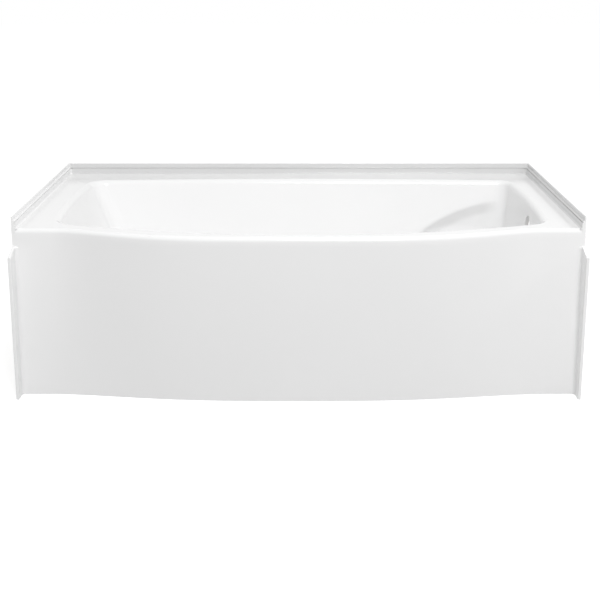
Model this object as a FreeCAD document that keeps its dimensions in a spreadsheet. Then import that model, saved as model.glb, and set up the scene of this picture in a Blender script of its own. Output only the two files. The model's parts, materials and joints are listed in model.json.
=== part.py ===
"""Alcove bathtub with a bowed apron, a tile flange on three sides and a right-hand drain.

Millimetres. The origin is at the middle of the overall box, on the floor. +X runs along the bath to its
drain end, +Y to the back wall and +Z up, so the apron faces -Y.

The bath is one vacuum-formed skin. Glass fibre is laid up behind it, and bonds in the base board, the
battens, the apron rail and two steel bearers. Each bearer carries a threaded levelling foot at either end.

The skin, the laminate and what lies against them share one family of surfaces. "depth" is how far a surface
lies behind the visible one: 0 is the visible face, skin_thickness the back of the skin, and so on.
"""

import FreeCAD, Part
import math
import os
import Sketcher
from FreeCAD import Vector

SIZES = [
    # overall
    ("overall_length", 1524),
    ("end_depth", 762),
    ("deck_height", 465),
    ("flange_rise", 33),
    # bow of the apron at its top and bottom, and how far from its ends it has died away
    ("top_bow", 92),
    ("top_bow_end", 102),
    ("bottom_bow", 50),
    ("bottom_bow_end", 82),
    ("rim_radius", 12.5),
    # thicknesses
    ("skin_thickness", 4),
    ("laminate_thickness", 4),
    # tile flange
    ("flange_thickness", 9.5),
    ("lip_thickness", 4),
    ("lip_height", 12),
    ("flange_cove", 5),
    ("flange_corner", 8),
    ("flange_land", 1.5),
    # end fins of the apron
    ("fin_thickness", 8),
    ("fin_reach_top", 55),
    ("fin_reach_bottom", 40),
    ("fin_below_deck", 47),
    ("fin_slope", 18),
    # well: width of the deck beside each corner line, and how far that line runs inwards to the floor
    ("floor_height", 90),
    ("floor_fall", 6),
    ("cove_radius", 60),
    ("deck_head", 107),
    ("deck_foot", 97),
    ("deck_back", 130),
    ("deck_front", 72),
    ("head_run", 185),
    ("foot_run", 45),
    ("back_run", 92),
    ("front_run", 13),
    # well: how far each side bows out past its corner line
    ("rim_head_bow", 15),
    ("rim_foot_bow", 14),
    ("rim_back_bow", 25),
    ("rim_front_bow", 129),
    ("base_head_bow", 30),
    ("base_foot_bow", 8),
    ("base_back_bow", 12),
    ("base_front_bow", 20),
    # well: corner radii in plan
    ("rim_head_radius", 42),
    ("rim_foot_radius", 30),
    ("base_head_radius", 120),
    ("base_foot_radius", 90),
    # arched recesses in both long walls at the foot end
    ("recess_depth", 32),
    ("base_recess_edge", 250),
    ("rim_recess_edge", 45),
    ("base_recess_fade", 120),
    ("rim_recess_fade", 70),
    ("arch_radius", 550),
    ("arch_from_end", 54),
    ("arch_below_deck", 48),
    # drain and overflow
    ("drain_diameter", 52),
    ("drain_from_end", 262),
    ("drain_from_back", 450),
    ("overflow_diameter", 66),
    ("overflow_below_deck", 71),
    ("ring_diameter", 100),
    ("ring_thickness", 4),
    ("drill_length", 180),
    ("drill_lead", 60),
    # base board and battens
    ("board_bottom", 70),
    ("board_margin", 4),
    ("board_from_end", 342),
    ("batten_width", 34),
    ("batten_height", 25),
    ("batten_edge", 20),
    ("bond_gap", 0.3),
    ("laminate_margin", 18),
    # apron rail
    ("rail_thickness", 18),
    ("rail_height", 60),
    ("rail_from_end", 142),
    ("floor_gap", 6),
    # bearers
    ("bearer_from_end", 432),
    ("bearer_width", 50),
    ("bearer_height", 30),
    ("bearer_wall", 2.5),
    ("bearer_from_back", 127),
    ("board_screw_pitch", 120),
    ("screw_shank", 4.5),
    ("screw_head", 9),
    ("screw_head_height", 3),
    ("screw_length", 12),
    ("screw_play", 0.6),
    # levelling feet
    ("foot_from_front", 22),
    ("foot_from_back", 160),
    ("stud_diameter", 12),
    ("stud_play", 0.05),
    ("web_hole_play", 1),
    ("stud_top", 95),
    ("nut_flats", 19),
    ("weld_nut_height", 10),
    ("jam_nut_height", 7),
    ("collar_height", 9),
    ("foot_diameter", 44),
    ("foot_crown_diameter", 26),
    ("foot_height", 9),
    ("socket_floor", 3),
    ("foot_play", 0.2),
]

BOARD_SCREWS = (-1, 0, 1)
SIDES = (-1, 1)

doc = FreeCAD.newDocument("alcove_bathtub")
sheet = doc.addObject("Spreadsheet::Sheet", "Sizes")
for row, (alias, value) in enumerate(SIZES, start=1):
    sheet.set("A%d" % row, alias)
    sheet.set("B%d" % row, str(value))
    sheet.setAlias("B%d" % row, alias)
doc.recompute()
size = {alias: float(getattr(sheet, alias)) for alias, _ in SIZES}

pieces = []


def piece(feature, label):
    """Marks a feature as a sub-part under its own name."""
    feature.Label = label
    pieces.append(feature)
    return feature


def number(expression):
    """The present value of an expression over the sheet."""
    return float(sheet.evalExpression(expression))


def bind(feature, **expressions):
    """Binds properties to expressions; a double underscore stands for a dot."""
    for name, expression in expressions.items():
        feature.setExpression(name.replace("__", "."), expression)
    return feature


def place(feature, x="0", y="0", z="0"):
    """Binds the place of a feature."""
    return bind(feature, Placement__Base__x=x, Placement__Base__y=y, Placement__Base__z=z)


def shaped(name, shape):
    """A feature whose free-form shape is worked out from the sheet by the functions below."""
    feature = doc.addObject("Part::Feature", name)
    feature.Shape = shape
    return feature


def cut(name, base, tool):
    feature = doc.addObject("Part::Cut", name)
    feature.Base = base
    feature.Tool = tool
    return feature


def common(name, base, tool):
    feature = doc.addObject("Part::Common", name)
    feature.Base = base
    feature.Tool = tool
    return feature


def fused(name, parts):
    feature = doc.addObject("Part::MultiFuse", name)
    feature.Shapes = parts
    return feature


def group(name, parts):
    """Separate solids that share one sub-part."""
    feature = doc.addObject("Part::Compound", name)
    feature.Links = parts
    return feature


def block(name, low, high):
    """A box between two corners, each given as three expressions."""
    feature = doc.addObject("Part::Box", name)
    sides = ["(%s) - (%s)" % (b, a) for a, b in zip(low, high)]
    bind(feature, Length=sides[0], Width=sides[1], Height=sides[2])
    return place(feature, *low)


def upright(name, diameter, height, x, y, z):
    """A vertical cylinder standing on z."""
    feature = doc.addObject("Part::Cylinder", name)
    bind(feature, Radius="(%s) / 2" % diameter, Height=height)
    return place(feature, x, y, z)


def tilted(name, diameter, length, x, y, z, angle):
    """A cylinder that starts at a point and is tipped from upright towards +X by an angle."""
    feature = upright(name, diameter, length, x, y, z)
    feature.Placement.Rotation = FreeCAD.Rotation(Vector(0, 1, 0), number(angle))
    return bind(feature, Placement__Rotation__Angle=angle)


def hexagon(name, flats, height, x, y, z):
    """A hexagonal prism standing on z, given by its width across flats."""
    feature = doc.addObject("Part::Prism", name)
    feature.Polygon = 6
    bind(feature, Circumradius="(%s) / 2 / cos(30)" % flats, Height=height)
    return place(feature, x, y, z)


def plane_of(body, role):
    """The origin plane of a body with this role."""
    return [f for f in body.Origin.OriginFeatures if f.Role == role][0]


def sketch_on(body, role, name, corners):
    """A closed polygon on an origin plane, each corner held by two bound distances."""
    sketch = body.newObject("Sketcher::SketchObject", name)
    sketch.AttachmentSupport = [(plane_of(body, role), "")]
    sketch.MapMode = "FlatFace"
    values = [Vector(number(a), number(b), 0) for a, b in corners]
    count = len(corners)
    for i in range(count):
        sketch.addGeometry(Part.LineSegment(values[i], values[(i + 1) % count]), False)
    for i in range(count):
        sketch.addConstraint(Sketcher.Constraint("Coincident", i, 2, (i + 1) % count, 1))
    for i, (a, b) in enumerate(corners):
        for kind, value, expression in (("DistanceX", values[i].x, a), ("DistanceY", values[i].y, b)):
            index = sketch.addConstraint(Sketcher.Constraint(kind, -1, 1, i, 1, value))
            sketch.setExpression("Constraints[%d]" % index, expression)
    return sketch


# ---------------------------------------------------------------- free-form surfaces


def bow_at(x, amount, reach, power):
    """How far a bowed edge stands forward of its ends: flat in the middle, with soft shoulders."""
    share = min(abs(x) / reach, 1.0)
    return amount * (1 - share**power) ** 2


TOP_BOW_POWER = 4
BOTTOM_BOW_POWER = 3
FRONT_STATIONS = 36
SPILL = 10
TOUCHING = 0.01


def half_length():
    return size["overall_length"] / 2


def back_line():
    return (size["end_depth"] + size["top_bow"]) / 2


def end_line():
    return back_line() - size["end_depth"]


def front_at(x, z, depth):
    """Y of the apron's face at x and z, raked between its top and bottom bows."""
    top = bow_at(x, size["top_bow"], half_length() - size["top_bow_end"], TOP_BOW_POWER)
    bottom = bow_at(x, size["bottom_bow"], half_length() - size["bottom_bow_end"], BOTTOM_BOW_POWER)
    return end_line() - (bottom + (top - bottom) * z / (size["deck_height"] - size["rim_radius"])) + depth


def outer_block(depth, spill, rounded=True):
    """Everything under the deck and behind the apron, at a depth; spill carries it past open sides."""
    half = half_length() + spill
    back = back_line() + spill
    top = size["deck_height"] - depth
    stations = [half * (2 * i / FRONT_STATIONS - 1) for i in range(FRONT_STATIONS + 1)]
    wires = []
    for z in (-spill, top):
        points = [Vector(x, front_at(x, z, depth), z) for x in stations]
        curve = Part.BSplineCurve()
        straight_on = Vector(half, 0, 0)
        curve.interpolate(Points=points, Parameters=[x / half for x in stations], Scale=False,
                          InitialTangent=straight_on, FinalTangent=straight_on)
        corners = [points[-1], Vector(half, back, z), Vector(-half, back, z), points[0]]
        straights = [Part.makeLine(a, b) for a, b in zip(corners, corners[1:])]
        wires.append(Part.Wire([curve.toShape()] + straights))
    solid = Part.makeLoft(wires, True, True)
    if not rounded:
        return solid
    front = [e for e in solid.Edges if is_front_edge(e, top)]
    return solid.makeFillet(size["rim_radius"] - depth, front)


def is_front_edge(edge, top):
    """True for the apron's upper edge."""
    box = edge.BoundBox
    level = abs(box.ZMin - top) < TOUCHING and abs(box.ZMax - top) < TOUCHING
    return level and edge.Length > size["overall_length"] and box.YMin < end_line() - size["top_bow"] / 2


CORNER_STEPS = 8
LONG_STEPS = 34
SHORT_STEPS = 8
RECESS_STEEPNESS = 2.5
CLOSING_POWER = 3


def between(name, share):
    """A size of the well between its floor (share 0) and its deck (share 1)."""
    return size["base_" + name] + (size["rim_" + name] - size["base_" + name]) * share


def closing(name, share):
    """The same, but most of the change comes just above the floor."""
    return between(name, 1 - (1 - share) ** CLOSING_POWER)


def corner_line(name, edge, outwards, share):
    """Place of one side of the well, from the edge of the bath beside it."""
    return edge - outwards * (size["deck_" + name] + size[name + "_run"] * (1 - share))


def well_corner_lines(share):
    """X of the head and foot corner lines, then Y of the back and front ones."""
    head = corner_line("head", -half_length(), -1, share)
    foot = corner_line("foot", half_length(), 1, share)
    back = corner_line("back", back_line(), 1, share)
    front = corner_line("front", end_line(), -1, share)
    return head, foot, back, front


def eased(t):
    """A smooth step from 0 to 1."""
    t = min(max(t, 0.0), 1.0)
    return t * t * (3 - 2 * t)


def recess_at(x, share, foot):
    """How far a long wall is set back at x by the arched recess, which fades at the deck and the foot end."""
    reach = size["arch_radius"] ** 2 - (x - half_length() + size["arch_from_end"]) ** 2
    if reach <= 0:
        return 0.0
    z = size["floor_height"] + (size["deck_height"] - size["floor_height"]) * share
    arch_centre = size["deck_height"] - size["arch_below_deck"] - size["arch_radius"]
    below_arch = arch_centre + math.sqrt(reach) - z
    fall_off = min(1.0, RECESS_STEEPNESS * (1 - share)) * eased((foot - x) / closing("recess_fade", share))
    return size["recess_depth"] * eased(below_arch / closing("recess_edge", share)) * fall_off


def well_outline(share, outset):
    """Points of the well's outline at a height share, moved outwards by outset.

    A rounded rectangle whose four sides bow out, with the recesses in its long sides.
    """
    head, foot, back, front = well_corner_lines(share)
    middle = Vector((head + foot) / 2, (back + front) / 2, 0)
    half_x, half_y = (foot - head) / 2, (back - front) / 2
    foot_radius, head_radius = closing("foot_radius", share), closing("head_radius", share)
    turns = [(1, 1, foot_radius), (-1, 1, head_radius), (-1, -1, head_radius), (1, -1, foot_radius)]
    corners = []
    for quarter, (sx, sy, radius) in enumerate(turns):
        centre = Vector(sx * (half_x - radius), sy * (half_y - radius), 0)
        angles = [math.pi / 2 * (quarter + i / CORNER_STEPS) for i in range(CORNER_STEPS + 1)]
        corners.append([centre + Vector(math.cos(a), math.sin(a), 0) * radius for a in angles])
    points = []
    for quarter, steps in enumerate((LONG_STEPS, SHORT_STEPS, LONG_STEPS, SHORT_STEPS)):
        start, stop = corners[quarter][-1], corners[(quarter + 1) % 4][0]
        points += corners[quarter]
        points += [start + (stop - start) * (i / steps) for i in range(1, steps)]
    bowed = []
    for p in points:
        u, v = p.x / half_x, p.y / half_y
        bow_x = between("foot_bow" if u > 0 else "head_bow", share)
        bow_y = between("back_bow" if v > 0 else "front_bow", share)
        x = middle.x + p.x + u * bow_x * (1 - v * v)
        recess = recess_at(x, share, foot)
        bowed.append(Vector(x, middle.y + p.y + v * (bow_y * (1 - u * u) + recess), 0))
    return outset_points(bowed, outset)


def outset_points(points, outset):
    """Moves the points of a closed anticlockwise outline outwards."""
    moved = []
    for i, p in enumerate(points):
        along = points[(i + 1) % len(points)] - points[i - 1]
        along.normalize()
        moved.append(p + Vector(along.y, -along.x, 0) * outset)
    return moved


def outline_parameters():
    """Shared curve parameters, so that every section of the well matches point for point."""
    steps = [0.0] * len(well_outline(1.0, 0.0))
    for share in (0.0, 1.0):
        points = well_outline(share, 0.0)
        for i, p in enumerate(points):
            steps[i] += (points[(i + 1) % len(points)] - p).Length
    total = sum(steps)
    return [sum(steps[:i]) / total for i in range(len(steps) + 1)]


def floor_level(x):
    """Height of the well's floor, which falls to the drain end."""
    head, foot = well_corner_lines(0.0)[:2]
    return size["floor_height"] + size["floor_fall"] * (foot - x) / (foot - head)


def share_of(z):
    return (z - size["floor_height"]) / (size["deck_height"] - size["floor_height"])


def section_points(level, outset):
    """Outline points on the surface z = level(x)."""
    points = []
    outlines = {}
    for i, rough in enumerate(well_outline(share_of(level(0)), outset)):
        share = round(share_of(level(rough.x)), 6)
        if share not in outlines:
            outlines[share] = well_outline(share, outset)
        p = outlines[share][i]
        points.append(Vector(p.x, p.y, level(p.x)))
    return points


COVE_ANGLES = (0, 18, 36, 54, 72, 90)
WALL_SHARES = (0.23, 0.3, 0.37, 0.44, 0.51, 0.57, 0.63, 0.68, 0.73, 0.78, 0.83, 0.88, 0.92)
MOUTH_ANGLES = (0, 24, 48, 72)
MOUTH_LEAD = 8
MOUTH_SPILL = 2


def hollow(depth, mouthed=True):
    """The hollow of the bath at a depth behind its wall: floor, cove, drafted walls and bell mouth."""
    parameters = outline_parameters()
    cove = size["cove_radius"] + depth
    mouth_start = size["deck_height"] - size["rim_radius"]
    sections = []
    for degrees in COVE_ANGLES:
        angle = math.radians(degrees)
        rise = cove * (1 - math.cos(angle)) - depth
        inset = cove * (1 - math.sin(angle))
        sections.append((lambda x, rise=rise: floor_level(x) + rise, depth - inset))
    depth_of_well = size["deck_height"] - size["floor_height"]
    heights = [size["floor_height"] + depth_of_well * share for share in WALL_SHARES]
    for z in heights + [mouth_start - MOUTH_LEAD]:
        sections.append((lambda x, z=z: z, depth))
    if mouthed:
        sections += mouth_sections(depth, mouth_start)
    wires = []
    for level, outset in sections:
        curve = Part.BSplineCurve()
        curve.interpolate(Points=section_points(level, outset), Parameters=parameters, PeriodicFlag=True)
        wires.append(Part.Wire([curve.toShape()]))
    return Part.makeLoft(wires, True, False)


def mouth_sections(depth, mouth_start):
    """Sections of the bell mouth, which runs straight on past the deck so that the deck trims it."""
    radius = size["rim_radius"] - depth
    sections = []
    for degrees in MOUTH_ANGLES:
        angle = math.radians(degrees)
        z = mouth_start + radius * math.sin(angle)
        outset = depth + radius * (1 - math.cos(angle))
        sections.append((lambda x, z=z: z, outset))
    top = size["deck_height"] - depth + MOUTH_SPILL
    sections.append((lambda x: top, outset + (top - z) * math.tan(angle)))
    return sections


def make_shell_forms():
    """The solids at each depth that the skin, laminate, rings and board are cut from."""
    skin = size["skin_thickness"]
    back = skin + size["laminate_thickness"]
    forms = {}
    for name, depth in (("face", 0), ("skin_back", skin), ("laminate_back", back)):
        spill = 0 if name == "face" else SPILL
        forms["hollow_" + name] = shaped("hollow_" + name, hollow(depth))
        forms["block_" + name] = shaped("block_" + name, outer_block(depth, spill))
        forms["body_" + name] = cut("body_" + name, forms["block_" + name], forms["hollow_" + name])
    ring_back = hollow(back + size["ring_thickness"], mouthed=False)
    forms["hollow_ring_back"] = shaped("hollow_ring_back", ring_back)
    return forms


# ---------------------------------------------------------------- sub-parts

HALF = "Sizes.overall_length / 2"
BACK = "(Sizes.end_depth + Sizes.top_bow) / 2"
END = "((Sizes.end_depth + Sizes.top_bow) / 2 - Sizes.end_depth)"
DECK = "Sizes.deck_height"
TOP = "(Sizes.deck_height + Sizes.flange_rise)"
UNDER_DECK = "(Sizes.deck_height - Sizes.skin_thickness)"
UNDER_LAMINATE = "(Sizes.deck_height - Sizes.skin_thickness - Sizes.laminate_thickness)"
REACH = str(SPILL)
DRAIN_X = "(Sizes.overall_length / 2 - Sizes.drain_from_end)"
DRAIN_Y = "((Sizes.end_depth + Sizes.top_bow) / 2 - Sizes.drain_from_back)"


def u_shaped_void(name, inset, bottom):
    """The space inside an upstand on three sides: open to the front and to the top."""
    side = "%s - (%s)" % (HALF, inset)
    return block(name, ("-(%s)" % side, END + " - " + REACH, bottom),
                 (side, "%s - (%s)" % (BACK, inset), TOP + " + " + REACH))


def tile_flange():
    """Upstand on three sides: a thick dam with a cove at its foot and a thin lip on top.

    A toe under each front end fills the corner over the apron's rounded upper edge.
    """
    outer = block("flange_outer", ("-" + HALF, END, UNDER_DECK), (HALF, BACK, TOP))
    dam_void = u_shaped_void("dam_void", "Sizes.flange_thickness", DECK)
    rounded = doc.addObject("Part::Fillet", "dam_void_rounded")
    rounded.Base = dam_void
    doc.recompute()
    rounding = [(i, cove_radius(e)) for i, e in enumerate(dam_void.Shape.Edges, start=1) if cove_radius(e)]
    rounded.Edges = [(i, radius, radius) for i, radius in rounding]
    lip_void = u_shaped_void("lip_void", "Sizes.lip_thickness", TOP + " - Sizes.lip_height")
    cove_edge = "Sizes.flange_thickness + Sizes.flange_cove + Sizes.flange_land"
    middle = u_shaped_void("deck_void", cove_edge, UNDER_DECK + " - " + REACH)
    voids = fused("flange_voids", [rounded, lip_void, middle])
    side = HALF + " - Sizes.flange_thickness"
    low, high = DECK + " - Sizes.rim_radius", END + " + Sizes.rim_radius"
    left_toe = block("left_toe", ("-" + HALF, END, low), ("-(%s)" % side, high, DECK))
    right_toe = block("right_toe", (side, END, low), (HALF, high, DECK))
    return [cut("flange", outer, voids), left_toe, right_toe]


def cove_radius(edge):
    """Rounding of an edge of the dam's inside: at the deck, and in its two upright corners."""
    box = edge.BoundBox
    if box.YMax < end_line():
        return 0
    if box.ZLength > size["flange_rise"]:
        return size["flange_corner"]
    at_deck = abs(box.ZMin - size["deck_height"]) < TOUCHING and box.ZLength < TOUCHING
    return size["flange_cove"] if at_deck else 0


def fin(name, side):
    """Upright fin at one end of the apron, standing forward of it."""
    body = doc.addObject("PartDesign::Body", name)
    rear = END + " + Sizes.skin_thickness / 2"
    top = DECK + " - Sizes.fin_below_deck"
    corners = [
        (rear, "0"),
        (rear, top),
        (END, top),
        (END + " - Sizes.fin_reach_top", top + " - Sizes.fin_slope"),
        (END + " - Sizes.fin_reach_bottom", "0"),
    ]
    sketch = sketch_on(body, "YZ_Plane", name + "_outline", corners)
    pad = body.newObject("PartDesign::Pad", name + "_pad")
    pad.Profile = sketch
    bind(pad, Length="Sizes.fin_thickness")
    start = "-" + HALF if side < 0 else HALF + " - Sizes.fin_thickness"
    return place(body, start)


FOOT_SET_BACK = "(Sizes.foot_run + Sizes.rim_foot_bow - Sizes.base_foot_bow)"
FOOT_DRAFT = "(%s / (Sizes.deck_height - Sizes.floor_height))" % FOOT_SET_BACK
OVERFLOW_ANGLE = "90 + atan(%s) / 1 deg" % FOOT_DRAFT


def drain_cylinder(name, diameter):
    return upright(name, diameter, "Sizes.drill_length", DRAIN_X, DRAIN_Y, "0")


def overflow_cylinder(name, diameter):
    """A cylinder through the middle of the overflow, square to the drafted end wall."""
    face = "(%s - Sizes.deck_foot + Sizes.rim_foot_bow - Sizes.overflow_below_deck * %s)" % (HALF, FOOT_DRAFT)
    x = face + " - Sizes.drill_lead"
    z = "%s - Sizes.overflow_below_deck + Sizes.drill_lead * %s" % (DECK, FOOT_DRAFT)
    return tilted(name, diameter, "Sizes.drill_length", x, DRAIN_Y, z, OVERFLOW_ANGLE)


def tub_shell(forms, holes):
    skin = cut("formed_skin", forms["body_face"], forms["body_skin_back"])
    parts = [skin, fin("left_fin", -1), fin("right_fin", 1)] + tile_flange()
    return piece(cut("tub_shell", fused("shell_solid", parts), holes), "tub_shell")


def laminate(forms, holes):
    """Glass fibre behind the deck, well and apron, short of the flange, the fins and the floor."""
    sheet_form = cut("laminate_sheet", forms["body_skin_back"], forms["body_laminate_back"])
    side = HALF + " - Sizes.laminate_margin"
    inside = block("laminate_limits", ("-(%s)" % side, END + " - Sizes.top_bow", "Sizes.floor_gap"),
                   (side, BACK + " - Sizes.laminate_margin", TOP))
    trimmed = common("laminate_trimmed", sheet_form, inside)
    return piece(cut("laminate", trimmed, holes), "laminate_backing")


def backing_rings(forms, holes):
    """Thickened rings behind the drain and overflow holes, which take the fittings' clamping load."""
    layer = cut("ring_layer", forms["hollow_ring_back"], forms["hollow_laminate_back"])
    drain_disc = drain_cylinder("drain_disc", "Sizes.ring_diameter")
    overflow_disc = overflow_cylinder("overflow_disc", "Sizes.ring_diameter")
    for name, disc in (("drain_pad", drain_disc), ("overflow_pad", overflow_disc)):
        solid = common(name + "_disc", layer, disc)
        piece(cut(name, solid, holes), name)


def base_board():
    """Board under the well's floor: flat below, and bedded to the floor's fall above."""
    depth = size["skin_thickness"] + size["laminate_thickness"]
    outline = well_outline(0.0, -size["cove_radius"] - size["board_margin"])
    wires = []
    for level in (lambda x: size["board_bottom"], lambda x: floor_level(x) - depth):
        curve = Part.BSplineCurve()
        points = [Vector(p.x, p.y, level(p.x)) for p in outline]
        curve.interpolate(Points=points, Parameters=outline_parameters(), PeriodicFlag=True)
        wires.append(Part.Wire([curve.toShape()]))
    blank = shaped("board_blank", Part.makeLoft(wires, True, True))
    limits = block("board_limits", ("-" + HALF, END, "0"), (HALF + " - Sizes.board_from_end", BACK, DECK))
    return piece(common("base_board", blank, limits), "base_board")


def battens():
    """Timber battens bonded under the deck along its two ends and its back."""
    bottom = UNDER_LAMINATE + " - Sizes.batten_height"
    outside = HALF + " - Sizes.batten_edge"
    back_edge = BACK + " - Sizes.batten_edge"
    back_front = back_edge + " - Sizes.batten_width"
    ends = END + " + Sizes.batten_edge"
    inside = outside + " - Sizes.batten_width"
    piece(block("left_batten", ("-(%s)" % outside, ends, bottom),
                ("-(%s)" % inside, back_front + " - Sizes.bond_gap", UNDER_LAMINATE)), "left_batten")
    piece(block("right_batten", (inside, ends, bottom),
                (outside, back_front + " - Sizes.bond_gap", UNDER_LAMINATE)), "right_batten")
    piece(block("back_batten", ("-(%s)" % outside, back_front, bottom),
                (outside, back_edge, UNDER_LAMINATE)), "back_batten")


def apron_rail(forms):
    """Bent strip bonded inside the apron's foot, on its bow."""
    depth = size["skin_thickness"] + size["laminate_thickness"] + size["rail_thickness"]
    behind = shaped("behind_rail", outer_block(depth, SPILL, rounded=False))
    strip = cut("rail_strip", forms["block_laminate_back"], behind)
    end = HALF + " - Sizes.rail_from_end"
    limits = block("rail_limits", ("-(%s)" % end, END + " - Sizes.top_bow", "Sizes.floor_gap"),
                   (end, BACK, "Sizes.floor_gap + Sizes.rail_height"))
    piece(common("apron_rail", strip, limits), "apron_rail")
    return behind


BEARER_X = "%d * (Sizes.overall_length / 2 - Sizes.bearer_from_end)"
BEARER_BACK = "((Sizes.end_depth + Sizes.top_bow) / 2 - Sizes.bearer_from_back)"
WEB_UNDER = "(Sizes.board_bottom - Sizes.bearer_wall)"


def bearer(name, side, behind_rail):
    """Steel channel across the bath, open below, whose front end meets the apron rail."""
    x = BEARER_X % side
    body = doc.addObject("PartDesign::Body", name + "_channel")
    wide = "Sizes.bearer_width / 2"
    narrow = "(Sizes.bearer_width / 2 - Sizes.bearer_wall)"
    top, bottom = "Sizes.board_bottom", "(Sizes.board_bottom - Sizes.bearer_height)"
    corners = [
        ("-" + wide, bottom), ("-" + narrow, bottom), ("-" + narrow, WEB_UNDER), (narrow, WEB_UNDER),
        (narrow, bottom), (wide, bottom), (wide, top), ("-" + wide, top),
    ]
    sketch = sketch_on(body, "XZ_Plane", name + "_section", corners)
    pad = body.newObject("PartDesign::Pad", name + "_pad")
    pad.Profile = sketch
    bind(pad, Length=BEARER_BACK + " - " + END + " + Sizes.bottom_bow")
    place(body, x, BEARER_BACK)
    holes = []
    for i, y in enumerate(foot_places()):
        holes.append(upright("%s_foot_hole_%d" % (name, i), "Sizes.stud_diameter + Sizes.web_hole_play",
                             "Sizes.bearer_height", x, y, bottom))
    for i in BOARD_SCREWS:
        holes.append(upright("%s_screw_hole_%d" % (name, i + 2), "Sizes.screw_shank + Sizes.screw_play",
                             "Sizes.bearer_height", x, screw_y(i), bottom))
    drilled = cut(name + "_drilled", body, fused(name + "_holes", holes))
    return piece(common(name, drilled, behind_rail), name)


def foot_places():
    return [END + " + Sizes.foot_from_front", BACK + " - Sizes.foot_from_back"]


def screw_y(index):
    return DRAIN_Y + " + %d * Sizes.board_screw_pitch" % index


def board_screws():
    """Pan-head screws up through each bearer's web into the base board."""
    screws = []
    for side in SIDES:
        for i in BOARD_SCREWS:
            name = "board_screw_%d_%d" % (side + 2, i + 2)
            x = BEARER_X % side
            y = screw_y(i)
            head = upright(name + "_head", "Sizes.screw_head", "Sizes.screw_head_height", x, y,
                           WEB_UNDER + " - Sizes.screw_head_height")
            shank = upright(name + "_shank", "Sizes.screw_shank", "Sizes.screw_length", x, y, WEB_UNDER)
            screws.append(fused(name, [head, shank]))
    return piece(group("board_screws", screws), "board_screws")


def bored_nut(name, height, x, y, z):
    """Hexagon nut on a stud, with a running clearance in its bore."""
    blank = hexagon(name + "_blank", "Sizes.nut_flats", height, x, y, z)
    bore = upright(name + "_bore", "Sizes.stud_diameter + 2 * Sizes.stud_play", height, x, y, z)
    return cut(name, blank, bore)


def levelling_foot(number_of_foot, side, y):
    """Weld nut, jam nut, threaded stud with its turning collar, and the pad that the stud turns in."""
    x = BEARER_X % side
    label = "_%d" % number_of_foot
    weld_z = WEB_UNDER + " - Sizes.weld_nut_height"
    weld = bored_nut("weld_nut" + label, "Sizes.weld_nut_height", x, y, weld_z)
    jam = bored_nut("jam_nut" + label, "Sizes.jam_nut_height", x, y, weld_z + " - Sizes.jam_nut_height")
    collar_z = "(Sizes.foot_height + Sizes.foot_play)"
    rod_z = "(Sizes.socket_floor + Sizes.foot_play)"
    rod = upright("rod" + label, "Sizes.stud_diameter", "Sizes.stud_top - " + rod_z, x, y, rod_z)
    collar = hexagon("collar" + label, "Sizes.nut_flats", "Sizes.collar_height", x, y, collar_z)
    piece(fused("foot_stud" + label, [rod, collar]), "foot_stud" + label)
    piece(foot_pad("foot_pad" + label, x, y), "foot_pad" + label)
    return weld, jam


def foot_pad(name, x, y):
    """Round pad with a bevelled top and a blind socket for the stud."""
    body = doc.addObject("PartDesign::Body", name)
    radius = "Sizes.foot_diameter / 2"
    socket = "(Sizes.stud_diameter / 2 + Sizes.stud_play)"
    corners = [
        ("0", "0"), (radius, "0"), (radius, "Sizes.foot_height / 2"),
        ("Sizes.foot_crown_diameter / 2", "Sizes.foot_height"), (socket, "Sizes.foot_height"),
        (socket, "Sizes.socket_floor"), ("0", "Sizes.socket_floor"),
    ]
    sketch = sketch_on(body, "XZ_Plane", name + "_section", corners)
    turned = body.newObject("PartDesign::Revolution", name + "_turned")
    turned.Profile = sketch
    turned.ReferenceAxis = (sketch, ["V_Axis"])
    turned.Angle = 360
    return place(body, x, y)


def levelling_feet():
    weld_nuts, jam_nuts = [], []
    for side in SIDES:
        for y in foot_places():
            weld, jam = levelling_foot(len(weld_nuts) + 1, side, y)
            weld_nuts.append(weld)
            jam_nuts.append(jam)
    piece(group("weld_nuts", weld_nuts), "weld_nuts")
    piece(group("jam_nuts", jam_nuts), "jam_nuts")


def check_and_export():
    """Stops at any failed object, then writes one file per sub-part."""
    doc.recompute()
    for feature in doc.Objects:
        if "Invalid" in feature.State or "Error" in feature.State:
            raise RuntimeError("failed object: " + feature.Name)
    for feature in pieces:
        shape = feature.Shape
        if shape.isNull() or not shape.isValid() or not shape.Solids:
            raise RuntimeError("bad shape: " + feature.Label)
    os.makedirs("parts", exist_ok=True)
    for feature in pieces:
        feature.Shape.exportStep("parts/%s.step" % feature.Label)
        print(feature.Label, len(feature.Shape.Solids), round(feature.Shape.Volume / 1000, 1), "cm3")


def main():
    forms = make_shell_forms()
    holes = fused("plumbing_holes", [drain_cylinder("drain_hole", "Sizes.drain_diameter"),
                                     overflow_cylinder("overflow_hole", "Sizes.overflow_diameter")])
    tub_shell(forms, holes)
    laminate(forms, holes)
    backing_rings(forms, holes)
    base_board()
    battens()
    behind_rail = apron_rail(forms)
    bearer("head_bearer", -1, behind_rail)
    bearer("foot_bearer", 1, behind_rail)
    board_screws()
    levelling_feet()
    check_and_export()


main()
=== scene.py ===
import json
import math

import bmesh
import bpy
import numpy as np
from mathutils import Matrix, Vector
from mathutils.geometry import delaunay_2d_cdt


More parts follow.
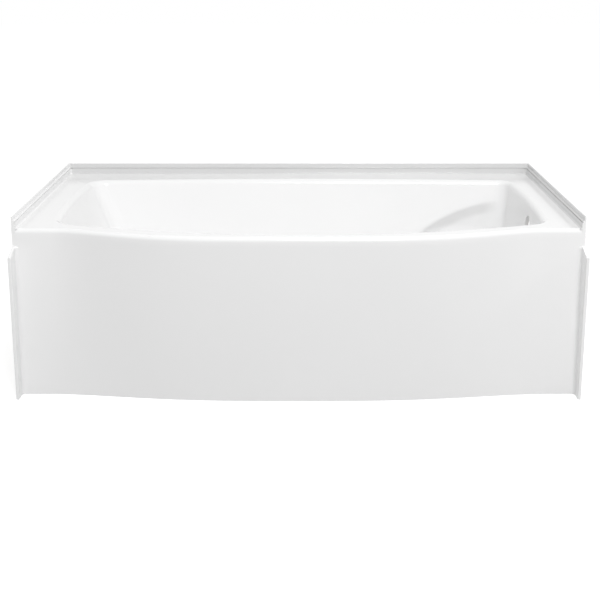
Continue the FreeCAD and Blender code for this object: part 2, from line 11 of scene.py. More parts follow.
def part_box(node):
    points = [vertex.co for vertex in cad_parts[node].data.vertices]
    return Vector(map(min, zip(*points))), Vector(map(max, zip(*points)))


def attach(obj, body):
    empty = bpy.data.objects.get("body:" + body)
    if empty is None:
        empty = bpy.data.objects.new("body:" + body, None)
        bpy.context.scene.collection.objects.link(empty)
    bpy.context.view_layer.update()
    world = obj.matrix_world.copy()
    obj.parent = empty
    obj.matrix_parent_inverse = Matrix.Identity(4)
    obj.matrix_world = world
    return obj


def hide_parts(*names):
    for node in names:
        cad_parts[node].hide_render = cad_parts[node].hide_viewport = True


# Alcove bathtub: finish of the formed acrylic skin, its glass-fibre backing and the steel and timber below.
# Metres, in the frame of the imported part: +X to the drain end, +Y to the back wall, +Z up.

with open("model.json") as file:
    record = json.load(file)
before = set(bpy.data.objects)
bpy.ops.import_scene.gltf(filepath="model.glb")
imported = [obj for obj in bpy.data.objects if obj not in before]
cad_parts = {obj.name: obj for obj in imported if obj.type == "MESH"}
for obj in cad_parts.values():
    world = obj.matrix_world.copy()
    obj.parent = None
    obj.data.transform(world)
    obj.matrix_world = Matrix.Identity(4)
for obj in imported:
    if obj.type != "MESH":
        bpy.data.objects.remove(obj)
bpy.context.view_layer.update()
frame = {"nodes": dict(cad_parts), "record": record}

# ---------------------------------------------------------------- sizes

_, SHELL_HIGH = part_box("tub_shell")
HALF = SHELL_HIGH.x
BACK = SHELL_HIGH.y
TOP = SHELL_HIGH.z
END_DEPTH = 0.762
END = BACK - END_DEPTH
FLANGE_RISE = 0.033
DECK = TOP - FLANGE_RISE

# apron: how far it bows out, how wide the bow is and how square, at the deck and at the floor
TOP_BOW, TOP_REACH, TOP_POWER = 0.092, 0.660, 4
BOTTOM_BOW, BOTTOM_REACH, BOTTOM_POWER = 0.050, 0.680, 3

# rounded edges of the deck, thickness of the skin, and the well's floor with its fall and cove
RIM_RADIUS = 0.0125
SKIN = 0.004
FLOOR, FALL, COVE = 0.090, 0.006, 0.060

# well: each size is (at the floor, at the deck)
HEAD, FOOT = (-0.470, -0.655), (0.620, 0.665)
REAR, FRONT = (0.205, 0.297), (-0.250, -0.263)
HEAD_BOW, FOOT_BOW = (0.030, 0.015), (0.008, 0.014)
REAR_BOW, FRONT_BOW = (0.012, 0.025), (0.020, 0.129)
HEAD_RADIUS, FOOT_RADIUS = (0.120, 0.042), (0.090, 0.030)
RECESS_EDGE, RECESS_FADE = (0.250, 0.045), (0.120, 0.070)
CLOSING_POWER = 3

# set-back of the long walls below an arch; its crease starts and widens in shares of the edge's height
RECESS_DEPTH, RECESS_STEEPNESS = 0.032, 2.5
CREASE_AT, CREASE_WIDTH = 0.15, 0.22
ARCH_RADIUS, ARCH_MIDDLE, ARCH_TOP = 0.550, 0.708, 0.417

# drain and overflow holes
DRAIN_X, WELL_MIDDLE, DRAIN_RADIUS = 0.500, -0.023, 0.026
OVERFLOW_Z, OVERFLOW_RADIUS = 0.394, 0.033
HOLE_STEPS = 72

# tile flange and end fins
LIP, LIP_HEIGHT, DAM, FLANGE_COVE = 0.004, 0.012, 0.0095, 0.005
FLANGE_NOSE, GROOVE, FLANGE_SINK = 0.0012, 0.0022, 0.0006
FIN, FIN_TOP_REACH, FIN_BOTTOM_REACH = 0.008, 0.055, 0.040
FIN_REAR_Z, FIN_FRONT_Z, FIN_FILLET = 0.418, 0.400, 0.010
FIN_NOSE, FIN_TIP = 0.0018, 0.0005

# steps of small arcs, angles in degrees past which an edge is sharp, and the reach of a weld
NOSE_STEPS, FILLET_STEPS, FLANGE_COVE_STEPS = 4, 8, 12
SHARP, FIN_SHARP, FLANGE_SHARP = 35, 40, 50
WELD = 1e-6

# ---------------------------------------------------------------- forms


def lerp(pair, t):
    return pair[0] + (pair[1] - pair[0]) * t


def closing(pair, t):
    """As lerp, but most of the change comes just above the floor."""
    return lerp(pair, 1 - (1 - np.clip(t, 0.0, 1.0)) ** CLOSING_POWER)


def eased(t):
    t = np.clip(t, 0.0, 1.0)
    return t * t * (3 - 2 * t)


def bow(x, amount, reach, power):
    share = np.minimum(np.abs(x) / reach, 1.0)
    return amount * (1 - share**power) ** 2


def front_at(x, z):
    """Y of the apron's face."""
    top = bow(x, TOP_BOW, TOP_REACH, TOP_POWER)
    bottom = bow(x, BOTTOM_BOW, BOTTOM_REACH, BOTTOM_POWER)
    return END - (bottom + (top - bottom) * z / (DECK - RIM_RADIUS))


def recess_at(x, share, foot):
    """Set-back of the long walls below the arch at the foot end."""
    reach = np.maximum(ARCH_RADIUS**2 - (x - ARCH_MIDDLE) ** 2, 0.0)
    below = ARCH_TOP - ARCH_RADIUS + np.sqrt(reach) - (FLOOR + (DECK - FLOOR) * share)
    fall_off = np.minimum(1.0, RECESS_STEEPNESS * (1 - share))
    fall_off = fall_off * eased((foot - x) / closing(RECESS_FADE, share))
    way = below / closing(RECESS_EDGE, share)
    crease = eased((way - CREASE_AT) / CREASE_WIDTH)
    return RECESS_DEPTH * eased(way) * crease * fall_off * (reach > 0)


CORNER_STEPS, LONG_STEPS, SHORT_STEPS = 16, 142, 56


def outline_stations():
    """Stations of a rounded rectangle, anticlockwise.

    Each is a quarter, the turn through its corner and the way along the next side.
    """
    stations = []
    for quarter, steps in enumerate((LONG_STEPS, SHORT_STEPS, LONG_STEPS, SHORT_STEPS)):
        stations += [(quarter, i / CORNER_STEPS, 0.0) for i in range(CORNER_STEPS + 1)]
        stations += [(quarter, 1.0, i / steps) for i in range(1, steps)]
    return np.array(stations).T


QUARTER, TURN, WAY = outline_stations()
CORNER_SIGNS = np.array([(1, 1), (-1, 1), (-1, -1), (1, -1)])


def corner_point(quarter, turn, half, radii):
    signs = CORNER_SIGNS[quarter]
    radius = np.where(signs[:, 0] > 0, radii[0], radii[1])[:, None]
    angle = np.pi / 2 * (quarter + turn)
    return signs * (half - radius) + radius * np.stack([np.cos(angle), np.sin(angle)], 1)


def well_ring(level, outset):
    """Closed outline of the well on the surface z = level(x), moved outwards."""
    share = np.full(len(QUARTER), share_of(level(0.0)))
    for _ in range(2):
        head, foot, rear, front = (lerp(side, share) for side in (HEAD, FOOT, REAR, FRONT))
        half = np.stack([(foot - head) / 2, (rear - front) / 2], 1)
        radii = closing(FOOT_RADIUS, share), closing(HEAD_RADIUS, share)
        quarter = QUARTER.astype(int)
        start = corner_point(quarter, TURN, half, radii)
        stop = corner_point((quarter + 1) % 4, 0.0, half, radii)
        p = start + (stop - start) * WAY[:, None]
        u, v = (p / half).T
        bow_x = np.where(u > 0, lerp(FOOT_BOW, share), lerp(HEAD_BOW, share))
        bow_y = np.where(v > 0, lerp(REAR_BOW, share), lerp(FRONT_BOW, share))
        x = (head + foot) / 2 + p[:, 0] + u * bow_x * (1 - v * v)
        y = (rear + front) / 2 + p[:, 1] + v * (bow_y * (1 - u * u) + recess_at(x, share, foot))
        share = share_of(level(x)) + 0 * x
    ring = np.stack([x, y], 1)
    along = np.roll(ring, -1, 0) - np.roll(ring, 1, 0)
    along /= np.linalg.norm(along, axis=1)[:, None]
    ring = ring + outset * np.stack([along[:, 1], -along[:, 0]], 1)
    return np.column_stack([ring, level(ring[:, 0]) + 0 * x])


def floor_at(x):
    return FLOOR + FALL * (FOOT[0] - x) / (FOOT[0] - HEAD[0])


def share_of(z):
    return (z - FLOOR) / (DECK - FLOOR)


COVE_STEPS, WALL_STEPS, MOUTH_STEPS = 14, 54, 8
SUPPORT = 0.0015


def well_rings():
    """Rings of the well from the edge of its flat floor up to the flat deck."""
    rings = []
    for i in range(COVE_STEPS + 1):
        angle = math.pi / 2 * i / COVE_STEPS
        rise = COVE * (1 - math.cos(angle))
        rings.append(well_ring(lambda x: floor_at(x) + rise, -COVE * (1 - math.sin(angle))))
    mouth_z = DECK - RIM_RADIUS
    for i in range(1, WALL_STEPS):
        t = i / WALL_STEPS
        rings.append(well_ring(lambda x: (floor_at(x) + COVE) * (1 - t) + mouth_z * t, 0.0))
    for i in range(MOUTH_STEPS + 1):
        angle = math.pi / 2 * i / MOUTH_STEPS
        outset = RIM_RADIUS * (1 - math.cos(angle))
        rings.append(well_ring(lambda x: mouth_z + RIM_RADIUS * math.sin(angle), outset))
    rings.append(well_ring(lambda x: DECK, RIM_RADIUS + SUPPORT))
    return rings


def add_grid(bm, rows, closed=False, flip=False, skip=lambda quad: False):
    """Quads between rows of points; returns the vertices, row by row."""
    made = [[bm.verts.new(p) for p in row] for row in rows]
    for low, high in zip(made, made[1:]):
        count = len(low)
        for i in range(count if closed else count - 1):
            j = (i + 1) % count
            quad = [low[i], low[j], high[j], high[i]]
            if not skip(quad):
                bm.faces.new(reversed(quad) if flip else quad)
    return made


FILL_TOLERANCE = 1e-9


def inside_count(point, loops):
    """How many closed loops a point of the plane lies in."""
    count = 0
    for loop in loops:
        a, b = loop, np.roll(loop, -1, 0)
        spans = (a[:, 1] > point[1]) != (b[:, 1] > point[1])
        a, b = a[spans], b[spans]
        cross = a[:, 0] + (point[1] - a[:, 1]) * (b[:, 0] - a[:, 0]) / (b[:, 1] - a[:, 1])
        count += np.count_nonzero(cross > point[0]) % 2
    return count


def fill(bm, loops, flat=lambda co: co.xy):
    """Triangles inside the first loop of vertices and outside the others, laid out by the plane map flat."""
    verts = [v for loop in loops for v in loop]
    plan = [Vector(flat(v.co)) for v in verts]
    edges, start = [], 0
    for loop in loops:
        edges += [(start + i, start + (i + 1) % len(loop)) for i in range(len(loop))]
        start += len(loop)
    flat_loops = [np.array([flat(v.co) for v in loop]) for loop in loops]
    points, _, triangles, origins, _, _ = delaunay_2d_cdt(plan, edges, [], 0, FILL_TOLERANCE)
    for triangle in triangles:
        centre = sum((points[i] for i in triangle), Vector((0, 0))) / 3
        if inside_count(centre, flat_loops) == 1:
            bm.faces.new([verts[origins[i][0]] for i in triangle])


def circle_points(centre, radius, steps=HOLE_STEPS):
    a = np.linspace(0, 2 * np.pi, steps, endpoint=False)
    return np.stack([centre[0] + radius * np.cos(a), centre[1] + radius * np.sin(a)], 1)


def add_floor(bm, edge):
    """The flat floor inside its edge, with the drain hole."""
    hole = []
    for radius in (DRAIN_RADIUS + SUPPORT, DRAIN_RADIUS):
        xy = circle_points((DRAIN_X, WELL_MIDDLE), radius)
        hole.append([bm.verts.new((x, y, floor_at(x))) for x, y in xy])
    inner = well_ring(floor_at, -COVE - SUPPORT)
    support = [bm.verts.new(p) for p in inner]
    join(bm, support, edge)
    fill(bm, [support, hole[0]])
    join(bm, hole[1], hole[0])


def join(bm, inner, outer):
    """A band between two matching loops, seen from above its visible side."""
    count = len(inner)
    for i in range(count):
        j = (i + 1) % count
        bm.faces.new([inner[j], inner[i], outer[i], outer[j]])


WALL_FOOT = FOOT[0] + FOOT_BOW[0]
FOOT_DRAFT = math.atan((FOOT[1] + FOOT_BOW[1] - WALL_FOOT) / (DECK - FLOOR))
OVERFLOW_X = WALL_FOOT + (OVERFLOW_Z - FLOOR) * math.tan(FOOT_DRAFT)
OVERFLOW_AT = Vector((OVERFLOW_X, WELL_MIDDLE, OVERFLOW_Z))
ACROSS = Vector((0, -1, 0))
UP_WALL = Vector((math.sin(FOOT_DRAFT), 0, math.cos(FOOT_DRAFT)))
OUT_OF_WALL = ACROSS.cross(UP_WALL)
PATCH_MARGIN, NEAR_MARGIN = 0.015, 0.008
PATCH = OVERFLOW_RADIUS + PATCH_MARGIN
WALL_TERMS = 5


def on_wall(co):
    """Place across and up the end wall, from the middle of the overflow."""
    way = co - OVERFLOW_AT
    return way.dot(ACROSS), way.dot(UP_WALL)


def is_near(vert, reach):
    """Whether a vertex lies in a square of the end wall around the overflow."""
    return vert.co.x > FOOT[0] - COVE and max(map(abs, on_wall(vert.co))) < reach


def near_overflow(quad):
    return all(is_near(v, PATCH) for v in quad)


def add_overflow(bm, well):
    """The patch of the end wall around the overflow hole, on the wall's own curve."""
    near = [v for row in well for v in row if is_near(v, PATCH + NEAR_MARGIN)]
    rim = [e for e in {e for v in near for e in v.link_edges} if e.is_boundary]
    loop = [rim[0].verts[0], rim[0].verts[1]]
    rim.remove(rim[0])
    while rim:
        edge = next(e for e in rim if loop[-1] in e.verts)
        rim.remove(edge)
        loop.append(edge.other_vert(loop[-1]))
    loop = loop[:-1]
    plan = np.array([on_wall(v.co) for v in loop])
    if np.sum(plan[:, 0] * np.roll(plan[:, 1], -1) - plan[:, 1] * np.roll(plan[:, 0], -1)) < 0:
        loop.reverse()
    uv = np.array([on_wall(v.co) for v in near])
    out = np.array([(v.co - OVERFLOW_AT).dot(OUT_OF_WALL) for v in near])
    fit = np.linalg.lstsq(wall_terms(uv), out, rcond=None)[0]
    rings = []
    for radius in (OVERFLOW_RADIUS + 2 * SUPPORT, OVERFLOW_RADIUS + SUPPORT, OVERFLOW_RADIUS):
        uv = circle_points((0, 0), radius)
        rise = wall_terms(uv) @ fit
        rings.append([bm.verts.new(off_wall(u, v, w)) for (u, v), w in zip(uv, rise)])
    fill(bm, [loop, rings[0]], on_wall)
    join(bm, rings[1], rings[0])
    join(bm, rings[2], rings[1])


def off_wall(across, up, out):
    """Point at a place across, up and out of the end wall, from the middle of the overflow."""
    return OVERFLOW_AT + ACROSS * across + UP_WALL * up + OUT_OF_WALL * out


def wall_terms(uv):
    """Terms of a smooth height over the wall's plane."""
    u, v = uv.T / PATCH
    return np.stack([u**i * v**j for i in range(WALL_TERMS) for j in range(WALL_TERMS - i)], 1)


APRON_COLUMNS, APRON_ROWS, ROUND_STEPS = 241, 36, 8


def add_apron(bm):
    """The apron, its rounded upper edge and a narrow strip of the deck; returns the strip's rear vertices."""
    x = np.linspace(-HALF, HALF, APRON_COLUMNS)
    top = front_at(x, DECK - RIM_RADIUS)
    rows = [np.column_stack([x, top + RIM_RADIUS + SUPPORT, 0 * x + DECK])]
    for i in range(ROUND_STEPS + 1):
        angle = math.pi / 2 * i / ROUND_STEPS
        y = top + RIM_RADIUS * (1 - math.sin(angle))
        rows.append(np.column_stack([x, y, 0 * x + DECK - RIM_RADIUS * (1 - math.cos(angle))]))
    for i in range(1, APRON_ROWS + 1):
        z = (DECK - RIM_RADIUS) * (1 - i / APRON_ROWS)
        rows.append(np.column_stack([x, front_at(x, z), 0 * x + z]))
    return add_grid(bm, rows, flip=True)[0]


DECK_STATIONS = 60


def add_deck(bm, front, mouth):
    """The flat deck between the apron's strip and the mouth of the well."""
    ys = np.linspace(front[0].co.y, BACK, DECK_STATIONS // 2)[1:]
    right = [bm.verts.new((HALF, y, DECK)) for y in ys]
    rear = [bm.verts.new((x, BACK, DECK)) for x in np.linspace(HALF, -HALF, DECK_STATIONS)[1:-1]]
    left = [bm.verts.new((-HALF, y, DECK)) for y in ys[::-1]]
    fill(bm, [front + right + rear + left, mouth])


def thicken(bm, thickness):
    """Closes an open surface into a sheet that lies behind its visible side."""
    bm.normal_update()
    back = {v: bm.verts.new(v.co - v.normal * thickness) for v in list(bm.verts)}
    borders = [e.link_loops[0] for e in bm.edges if e.is_boundary]
    borders = [(loop.vert, loop.link_loop_next.vert) for loop in borders]
    for face in list(bm.faces):
        bm.faces.new([back[v] for v in reversed(face.verts)])
    for a, b in borders:
        bm.faces.new([b, a, back[a], back[b]])


def finished(name, bm, material, body="root", sharp_angle=SHARP):
    """Turns a bmesh into a piece that rides on a body."""
    mesh = bpy.data.meshes.new(name)
    bm.to_mesh(mesh)
    bm.free()
    piece = bpy.data.objects.new(name, mesh)
    bpy.context.scene.collection.objects.link(piece)
    mesh.materials.append(material)
    shade(piece, sharp_angle)
    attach(piece, body)
    return piece


def shade(piece, sharp_angle):
    """Smooth faces with sharp edges past an angle."""
    piece.data.shade_smooth()
    bm = bmesh.new()
    bm.from_mesh(piece.data)
    limit = math.radians(sharp_angle)
    for edge in bm.edges:
        edge.smooth = not (len(edge.link_faces) == 2 and edge.calc_face_angle(0.0) > limit)
    bm.to_mesh(piece.data)
    bm.free()


# ---------------------------------------------------------------- tile flange and fins


def arc(centre, radius, start, stop, steps):
    """Points of an arc in a profile, angles in degrees."""
    a = np.radians(np.linspace(start, stop, steps + 1))
    return [(centre[0] + radius * math.cos(t), centre[1] + radius * math.sin(t)) for t in a]


def flange_profile():
    """Closed section (distance in from the outer face, height) of the upstand.

    A dam with a small cove at its foot, a fine groove below its ledge, and a thin lip on top.
    """
    ledge = TOP - LIP_HEIGHT
    nose = FLANGE_NOSE
    profile = [(0.0, DECK - RIM_RADIUS), (0.0, TOP - nose)]
    profile += arc((nose, TOP - nose), nose, 180, 90, NOSE_STEPS)[1:]
    profile += arc((LIP - nose, TOP - nose), nose, 90, 0, NOSE_STEPS)
    profile += arc((LIP + nose, ledge + nose), nose, 180, 270, NOSE_STEPS)
    profile += arc((DAM - nose, ledge - nose), nose, 90, 0, NOSE_STEPS)
    groove_top = ledge - 1.5 * nose
    profile += [(DAM - GROOVE, groove_top), (DAM - GROOVE, groove_top - GROOVE)]
    profile += [(DAM, ledge - 2 * nose - GROOVE)]
    profile += arc((DAM + FLANGE_COVE, DECK + FLANGE_COVE), FLANGE_COVE, 180, 270, FLANGE_COVE_STEPS)
    profile += [(DAM + FLANGE_COVE, DECK - FLANGE_SINK), (DAM, DECK - SKIN / 2), (DAM, DECK - RIM_RADIUS)]
    return profile


BEND_STEPS, SIDE_STATIONS, BACK_STATIONS = 12, 60, 100
BEND_GROWTH = 0.95


def u_path(inset):
    """Plan of the upstand at an inset from its outer face: left side, back and right side."""
    radius = FLANGE_NOSE + BEND_GROWTH * inset
    x, y = HALF - inset, BACK - inset
    points = [(-x, t) for t in np.linspace(END, y - radius, SIDE_STATIONS)]
    points += arc((-x + radius, y - radius), radius, 180, 90, BEND_STEPS)[1:]
    points += [(t, y) for t in np.linspace(-x + radius, x - radius, BACK_STATIONS)[1:]]
    points += arc((x - radius, y - radius), radius, 90, 0, BEND_STEPS)[1:]
    points += [(x, t) for t in np.linspace(y - radius, END, SIDE_STATIONS)[1:]]
    return points


def tile_flange(material, end_material):
    """The upstand; its back and right runs above the deck are greyer, which is painted shade; its left run,
    its front ends and what lies below the deck are as white as the deck.
    """
    bm = bmesh.new()
    rows = [[(x, y, z) for x, y in u_path(inset)] for inset, z in flange_profile()]
    add_grid(bm, rows + rows[:1])
    bmesh.ops.remove_doubles(bm, verts=bm.verts, dist=WELD)
    bmesh.ops.holes_fill(bm, edges=[e for e in bm.edges if e.is_boundary], sides=0)
    bmesh.ops.recalc_face_normals(bm, faces=bm.faces)
    for face in bm.faces:
        middle = face.calc_center_median()
        left_run = middle.x < BACK - HALF - middle.y
        front_end = all(v.co.y < END + SUPPORT for v in face.verts)
        # material 0, the greyer one, is painted shade on the back and right runs; material 1 is the acrylic's
        # own white
        face.material_index = int(left_run or front_end or middle.z < DECK)
    flange = finished("tile_flange_upstand", bm, material, sharp_angle=FLANGE_SHARP)
    flange.data.materials.append(end_material)
    return flange


FIN_LEVELS, FIN_TOP_LEVELS = 60, 12


def fin_section(side, z):
    """Plan of a fin at a height: outer face, nose, inner face and fillet onto the apron."""
    if z <= FIN_FRONT_Z:
        reach = FIN_BOTTOM_REACH + (FIN_TOP_REACH - FIN_BOTTOM_REACH) * z / FIN_FRONT_Z
    else:
        reach = FIN_TOP_REACH * (FIN_REAR_Z - z) / (FIN_REAR_Z - FIN_FRONT_Z)
    reach = max(reach, FIN_TIP)
    nose = min(FIN_NOSE, reach / 3)
    fillet = min(FIN_FILLET, reach - nose)
    inner = HALF - FIN
    points = [(HALF, END + SKIN / 2)]
    points += arc((HALF - nose, END - reach + nose), nose, 0, -90, NOSE_STEPS)
    points += arc((inner + nose, END - reach + nose), nose, -90, -180, NOSE_STEPS)
    points += arc((inner - fillet, END - fillet), fillet, 0, 90, FILLET_STEPS)
    points += [(inner - fillet, END + SKIN / 2)]
    return [(side * x, y, z) for x, y in points]


def fin(name, side, material):
    bm = bmesh.new()
    levels = list(np.linspace(0, FIN_FRONT_Z, FIN_LEVELS))
    levels += list(np.linspace(FIN_FRONT_Z, FIN_REAR_Z, FIN_TOP_LEVELS)[1:])
    made = add_grid(bm, [fin_section(side, z) for z in levels], closed=True)
    bm.faces.new(made[0])
    bm.faces.new(made[-1])
    bmesh.ops.recalc_face_normals(bm, faces=bm.faces)
    return finished(name, bm, material, sharp_angle=FIN_SHARP)


# ---------------------------------------------------------------- materials


ACRYLIC_IOR, USUAL_IOR = 1.49, 1.5


def new_material(name, colour, roughness, metallic=0.0, ior=USUAL_IOR):
    material = bpy.data.materials.new(name)
    material.use_nodes = True
    nodes = material.node_tree.nodes
    shader = nodes["Principled BSDF"]
    shader.inputs["Base Color"].default_value = (*colour, 1)
    shader.inputs["Roughness"].default_value = roughness
    shader.inputs["Metallic"].default_value = metallic
    shader.inputs["IOR"].default_value = ior
    return material, nodes, material.node_tree.links, shader


def noise(nodes, links, coordinates, scale, detail=3.0):
    node = nodes.new("ShaderNodeTexNoise")
    node.inputs["Scale"].default_value = scale
    node.inputs["Detail"].default_value = detail
    links.new(coordinates, node.inputs["Vector"])
    return node.outputs["Fac"]


def ramp(nodes, links, value, stops):
    node = nodes.new("ShaderNodeValToRGB")
    node.color_ramp.elements[0].position = stops[0][0]
    node.color_ramp.elements[1].position = stops[-1][0]
    for position, _ in stops[1:-1]:
        node.color_ramp.elements.new(position)
    for element, (_, colour) in zip(node.color_ramp.elements, stops):
        element.color = (*colour, 1)
    links.new(value, node.inputs["Fac"])
    return node.outputs["Color"]


def remapped(nodes, links, value, low, high):
    """A value of 0 to 1 spread from low to high."""
    node = nodes.new("ShaderNodeMapRange")
    node.inputs["To Min"].default_value = low
    node.inputs["To Max"].default_value = high
    links.new(value, node.inputs["Value"])
    return node.outputs["Result"]


def cells(nodes, links, coordinates, scale, feature="F1"):
    """Cells of even size; returns the node's outputs."""
    node = nodes.new("ShaderNodeTexVoronoi")
    node.feature = feature
    node.inputs["Scale"].default_value = scale
    links.new(coordinates, node.inputs["Vector"])
    return node.outputs


def channels(nodes, links, colour):
    """The three channels of a cell's random colour."""
    node = nodes.new("ShaderNodeSeparateColor")
    links.new(colour, node.inputs["Color"])
    return node.outputs


def bump(nodes, links, shader, height, strength, distance):
    node = nodes.new("ShaderNodeBump")
    node.inputs["Strength"].default_value = strength
    node.inputs["Distance"].default_value = distance
    links.new(height, node.inputs["Height"])
    links.new(node.outputs["Normal"], shader.inputs["Normal"])


def object_coordinates(nodes, links, stretch=(1, 1, 1)):
    source = nodes.new("ShaderNodeTexCoord")
    mapping = nodes.new("ShaderNodeMapping")
    mapping.inputs["Scale"].default_value = stretch
    links.new(source.outputs["Object"], mapping.inputs["Vector"])
    return mapping.outputs["Vector"]


TONE_SPREAD, TONE_SCALE = 0.008, 2.2
GLOSS_SMOOTH, GLOSS_MIDDLE, GLOSS_ROUGH, GLOSS_SCALE = 0.07, 0.10, 0.13, 9.0
PEEL_SCALE, PEEL_DETAIL, PEEL_STRENGTH, PEEL_HEIGHT = 55.0, 2.0, 0.04, 0.0006


def acrylic(name, level):
    """Glossy white cast acrylic with the faint orange peel of a formed sheet."""
    low, high = (level - TONE_SPREAD,) * 3, (level + TONE_SPREAD,) * 3
    material, nodes, links, shader = new_material(name, low, GLOSS_MIDDLE, ior=ACRYLIC_IOR)
    where = object_coordinates(nodes, links)
    tone = ramp(nodes, links, noise(nodes, links, where, TONE_SCALE), [(0.3, low), (0.7, high)])
    links.new(tone, shader.inputs["Base Color"])
    gloss = remapped(nodes, links, noise(nodes, links, where, GLOSS_SCALE), GLOSS_SMOOTH, GLOSS_ROUGH)
    links.new(gloss, shader.inputs["Roughness"])
    peel = noise(nodes, links, where, PEEL_SCALE, PEEL_DETAIL)
    bump(nodes, links, shader, peel, PEEL_STRENGTH, PEEL_HEIGHT)
    return material


def glass_fibre():
    """Sprayed chopped strand set in resin: short strands, dry patches and a rough back."""
    material, nodes, links, shader = new_material("glass_fibre", (0.8, 0.79, 0.75), 0.55)
    where = object_coordinates(nodes, links)
    stretched = object_coordinates(nodes, links, (1.0, 3.5, 1.6))
    strands = cells(nodes, links, stretched, 70, "DISTANCE_TO_EDGE")
    patches = noise(nodes, links, where, 7.0, 4.0)
    stops = [(0.3, (0.7, 0.69, 0.63)), (0.55, (0.79, 0.78, 0.74)), (0.75, (0.86, 0.86, 0.83))]
    tone = ramp(nodes, links, patches, stops)
    links.new(tone, shader.inputs["Base Color"])
    bump(nodes, links, shader, strands["Distance"], 0.5, 0.0012)
    return material


def timber():
    """Sawn softwood with grain along the piece."""
    material, nodes, links, shader = new_material("sawn_timber", (0.65, 0.48, 0.3), 0.75)
    where = object_coordinates(nodes, links, (0.35, 6.0, 6.0))
    wave = nodes.new("ShaderNodeTexWave")
    wave.wave_type = "BANDS"
    wave.bands_direction = "Y"
    wave.inputs["Scale"].default_value = 9
    wave.inputs["Distortion"].default_value = 6
    wave.inputs["Detail"].default_value = 3
    links.new(where, wave.inputs["Vector"])
    tone = ramp(nodes, links, wave.outputs["Fac"], [(0.2, (0.52, 0.35, 0.19)), (0.8, (0.74, 0.57, 0.37))])
    links.new(tone, shader.inputs["Base Color"])
    bump(nodes, links, shader, wave.outputs["Fac"], 0.3, 0.0006)
    return material


def pressed_board():
    """Strand board: pale flakes pressed flat."""
    material, nodes, links, shader = new_material("pressed_board", (0.62, 0.45, 0.27), 0.8)
    where = object_coordinates(nodes, links, (1.0, 2.4, 1.0))
    flakes = cells(nodes, links, where, 38)
    split = channels(nodes, links, flakes["Color"])
    stops = [(0.0, (0.42, 0.27, 0.13)), (0.5, (0.62, 0.45, 0.26)), (1.0, (0.78, 0.62, 0.41))]
    links.new(ramp(nodes, links, split["Red"], stops), shader.inputs["Base Color"])
    bump(nodes, links, shader, flakes["Distance"], 0.35, 0.0008)
    return material


def zinc_steel():
    """Zinc plate with a soft spangle."""
    material, nodes, links, shader = new_material("zinc_plate", (0.62, 0.63, 0.65), 0.36, metallic=1.0)
    where = object_coordinates(nodes, links)
    split = channels(nodes, links, cells(nodes, links, where, 120)["Color"])
    tone = ramp(nodes, links, split["Green"], [(0.0, (0.5, 0.51, 0.53)), (1.0, (0.7, 0.71, 0.73))])
    links.new(tone, shader.inputs["Base Color"])
    links.new(remapped(nodes, links, split["Red"], 0.28, 0.46), shader.inputs["Roughness"])
    return material


def black_rubber():
    """Matt moulded rubber with a fine grain."""
    material, nodes, links, shader = new_material("black_rubber", (0.03, 0.03, 0.032), 0.7)
    where = object_coordinates(nodes, links)
    grain = noise(nodes, links, where, 420.0, 2.0)
    tone = ramp(nodes, links, grain, [(0.3, (0.022, 0.022, 0.024)), (0.7, (0.045, 0.045, 0.047))])
    links.new(tone, shader.inputs["Base Color"])
    bump(nodes, links, shader, grain, 0.25, 0.0004)
    return material


# ---------------------------------------------------------------- pieces


VISUAL_SKIN = 0.9 * SKIN
# the flange tone is painted shade: it darkens the back and right runs of the tile flange below the acrylic's
# own white
WHITE_TONE, FLANGE_SHADE_TONE = 0.885, 0.67
# sealed edge of the overflow hole: gap to the hole, thickness, and how far behind the wall it starts and ends
EDGE_GAP, EDGE_WALL, EDGE_FRONT, EDGE_BACK = 0.0001, 0.0005, 0.0037, 0.0118


def overflow_edge(material):
    """White sealed edge of the overflow hole, through the backing behind the skin."""
    bm = bmesh.new()
    outer = OVERFLOW_RADIUS - EDGE_GAP
    inner = outer - EDGE_WALL
    rows = []
    for radius, depth in ((outer, EDGE_FRONT), (inner, EDGE_FRONT), (inner, EDGE_BACK), (outer, EDGE_BACK)):
        ring = circle_points((0, 0), radius)
        rows.append([off_wall(u, v, -depth) for u, v in ring])
    add_grid(bm, rows + rows[:1], closed=True)
    bmesh.ops.remove_doubles(bm, verts=bm.verts, dist=WELD)
    bmesh.ops.recalc_face_normals(bm, faces=bm.faces)
    return finished("overflow_edge", bm, material)


def formed_skin(material):
    """Deck, well and apron as one sheet, thinner than the solid so that it stays off the laminate."""
    bm = bmesh.new()
    well = add_grid(bm, well_rings(), closed=True, flip=True, skip=near_overflow)
    add_overflow(bm, well)
    add_floor(bm, well[0])
    add_deck(bm, add_apron(bm), well[-1])
    thicken(bm, VISUAL_SKIN)
    return finished("formed_skin", bm, material)


def make_shell():
    white = acrylic("white_acrylic", WHITE_TONE)
    fins = [fin("left_end_fin", -1, white), fin("right_end_fin", 1, white)]
    # the flange's greyer acrylic is painted shade on its back and right runs
    flange = tile_flange(acrylic("flange_painted_shade", FLANGE_SHADE_TONE), white)
    for piece in (formed_skin(white), flange, overflow_edge(white), *fins):
        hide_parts("tub_shell")


def dress_cad_nodes():
    """Gives each remaining CAD node its finish, by the record's slot."""
    finishes = {
        "glass_fibre": glass_fibre(),
        "board": pressed_board(),
        "timber": timber(),
        "zinc_steel": zinc_steel(),
        "pad_rubber": black_rubber(),
    }
    slots = {s["node"]: s["material_slot"] for s in frame["record"]["subparts"]}
    for name, node in frame["nodes"].items():
        if slots[name] in finishes:
            node.data.materials.clear()
            node.data.materials.append(finishes[slots[name]])


# ---------------------------------------------------------------- stage


FLOOR_SIDE = 30.0
FLOOR_TONE, FLOOR_LIFT = 0.48, 0.72
WORLD_LIGHT = 0.60

# each lamp is (place, target, size, power)
LAMPS = {
    "key": ((0.65, -3.5, 4.1), (0, 0, 0.2), (1.4, 1.4), 132),
    "side": ((4.2, -0.9, 3.0), (-0.6, 0.2, 0.4), (1.2, 0.9), 18),
}


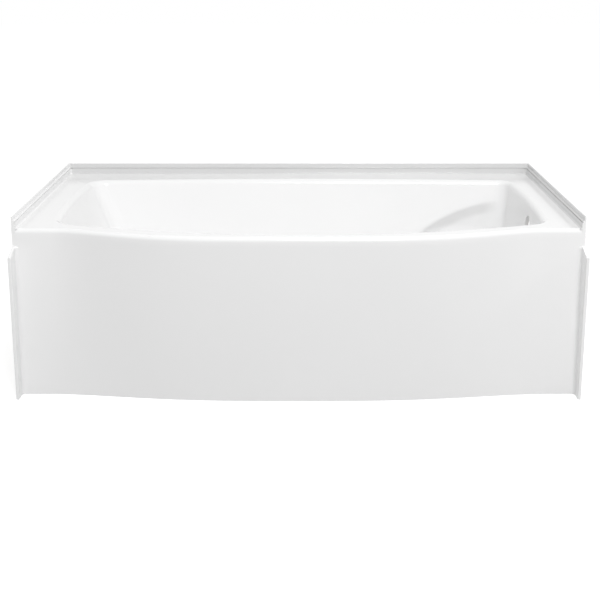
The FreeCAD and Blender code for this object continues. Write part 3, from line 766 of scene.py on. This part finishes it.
def seen_rays(nodes, links):
    """1 on camera, glossy and transmission rays, and 0 on the rays that light the object."""
    path = nodes.new("ShaderNodeLightPath")
    value = path.outputs["Is Camera Ray"]
    for ray in ("Is Glossy Ray", "Is Transmission Ray"):
        either = nodes.new("ShaderNodeMath")
        either.operation = "MAXIMUM"
        links.new(value, either.inputs[0])
        links.new(path.outputs[ray], either.inputs[1])
        value = either.outputs["Value"]
    return value


def backdrop():
    """A plain white floor that keeps the shadow, and a white world."""
    bpy.ops.mesh.primitive_plane_add(size=FLOOR_SIDE, location=(0, 0, 0))
    ground = bpy.context.object
    ground.name = "floor"
    material = bpy.data.materials.new("white_floor")
    material.use_nodes = True
    nodes, links = material.node_tree.nodes, material.node_tree.links
    nodes.clear()
    output = nodes.new("ShaderNodeOutputMaterial")
    diffuse = nodes.new("ShaderNodeBsdfDiffuse")
    diffuse.inputs["Color"].default_value = (FLOOR_TONE, FLOOR_TONE, FLOOR_TONE, 1)
    glow = nodes.new("ShaderNodeEmission")
    lift = nodes.new("ShaderNodeMath")
    lift.operation = "MULTIPLY"
    lift.inputs[1].default_value = FLOOR_LIFT
    links.new(seen_rays(nodes, links), lift.inputs[0])
    links.new(lift.outputs["Value"], glow.inputs["Strength"])
    both = nodes.new("ShaderNodeAddShader")
    links.new(diffuse.outputs["BSDF"], both.inputs[0])
    links.new(glow.outputs["Emission"], both.inputs[1])
    links.new(both.outputs["Shader"], output.inputs["Surface"])
    ground.data.materials.append(material)


def white_world():
    world = bpy.data.worlds.new("studio")
    bpy.context.scene.world = world
    world.use_nodes = True
    nodes, links = world.node_tree.nodes, world.node_tree.links
    background = nodes["Background"]
    background.inputs["Color"].default_value = (1, 1, 1, 1)
    strength = remapped(nodes, links, seen_rays(nodes, links), WORLD_LIGHT, 1.0)
    links.new(strength, background.inputs["Strength"])


def area_lamp(name, place, target, size, power):
    light = bpy.data.lights.new(name, "AREA")
    light.shape = "RECTANGLE"
    light.size, light.size_y = size
    light.energy = power
    lamp = bpy.data.objects.new(name, light)
    lamp.location = place
    lamp.rotation_euler = (Vector(target) - Vector(place)).to_track_quat("-Z", "Y").to_euler()
    bpy.context.scene.collection.objects.link(lamp)


# The photograph's frame is 600 by 600 pixels; its camera stands 2.895 m in front of the apron's ends.
FOCAL_PIXELS = 1124.6
OPTICAL_X, OPTICAL_Y = 298.6, 183.0
FRAME_PIXELS = 600.0
CAMERA_AHEAD, CAMERA_HEIGHT, CAMERA_PITCH = 2.895, 1.189, 11.7
SENSOR = 36.0


def camera():
    data = bpy.data.cameras.new("camera")
    data.sensor_width = SENSOR
    data.lens = FOCAL_PIXELS / FRAME_PIXELS * SENSOR
    data.shift_x = (FRAME_PIXELS / 2 - OPTICAL_X) / FRAME_PIXELS
    data.shift_y = (OPTICAL_Y - FRAME_PIXELS / 2) / FRAME_PIXELS
    eye = bpy.data.objects.new("camera", data)
    eye.location = (0, END - CAMERA_AHEAD, CAMERA_HEIGHT)
    eye.rotation_euler = (math.radians(90 - CAMERA_PITCH), 0, 0)
    bpy.context.scene.collection.objects.link(eye)
    bpy.context.scene.camera = eye


def main():
    make_shell()
    dress_cad_nodes()
    backdrop()
    white_world()
    for name, settings in LAMPS.items():
        area_lamp(name, *settings)
    camera()
    bpy.context.scene.view_settings.view_transform = "Standard"


main()
